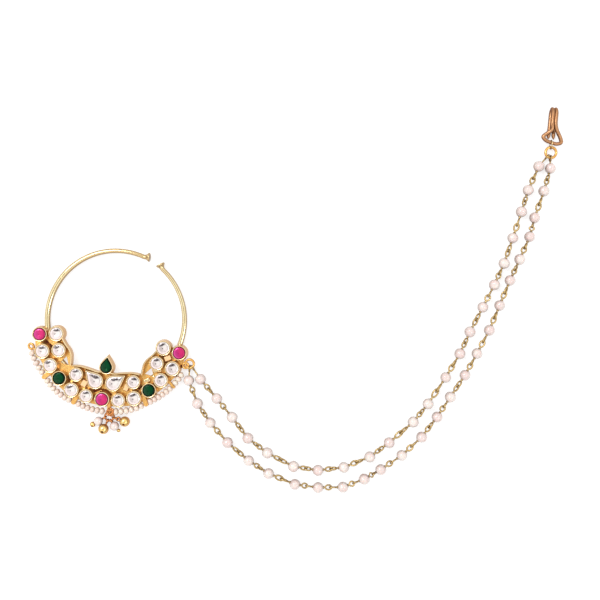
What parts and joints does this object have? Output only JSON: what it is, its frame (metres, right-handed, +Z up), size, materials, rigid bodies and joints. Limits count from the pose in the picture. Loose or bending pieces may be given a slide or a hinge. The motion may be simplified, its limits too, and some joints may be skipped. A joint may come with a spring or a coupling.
{
  "type": "nath nose ring",
  "caption": "Open gold hoop for the nose with a stone-set crescent, seed pearls and small dangles, joined by two pearl chains to a wire hair hook; laid flat.",
  "frame": {"origin": "on the surface the jewel lies on, under the middle of the whole piece", "axes": "+X along the jewel, from the hoop towards the hair hook; +Y towards the hoop's open end in the picture; +Z up, out of the stones' tables"},
  "size_m": [0.1908, 0.1378, 0.0046],
  "materials": {
    "gold": "polished, gold plated",
    "rose_gold": "polished, copper coloured",
    "kundan": "clear cut stone on silver foil",
    "ruby": "cut stone on foil",
    "emerald": "cut stone on foil",
    "pearl": "pearl lustre"
  },
  "bodies": {
    "root": {"gold_frame": "gold", "ruby_end_left": "ruby", "ruby_end_right": "ruby", "kundan_top_left": "kundan", "kundan_top_right": "kundan", "kundan_shoulder_left": "kundan", "kundan_shoulder_right": "kundan", "kundan_loop_left": "kundan", "kundan_loop_right": "kundan", "kundan_side_left": "kundan", "kundan_side_right": "kundan", "emerald_left": "emerald", "emerald_right": "emerald", "kundan_rim_left": "kundan", "kundan_rim_right": "kundan", "kundan_edge_left": "kundan", "kundan_edge_right": "kundan", "kundan_pear_left": "kundan", "kundan_pear_right": "kundan", "kundan_low_left": "kundan", "kundan_low_right": "kundan", "ruby_middle": "ruby", "emerald_pear": "emerald", "seed_string_1": "pearl", "seed_string_2": "pearl", "seed_string_3": "pearl", "seed_string_4": "pearl", "seed_string_5": "pearl", "seed_string_6": "pearl", "dangle_ring": "rose_gold", "dangle_link": "rose_gold", "drop_pearl_left": "pearl", "drop_ball_middle": "gold", "drop_pearl_right": "pearl", "drop_ball_right": "gold", "chain_ring": "gold", "hook_ring": "gold", "hook_link": "gold", "pearl_strand_inner": "pearl", "pearl_strand_outer": "pearl", "hair_hook": "rose_gold"}
  },
  "joints": []
}
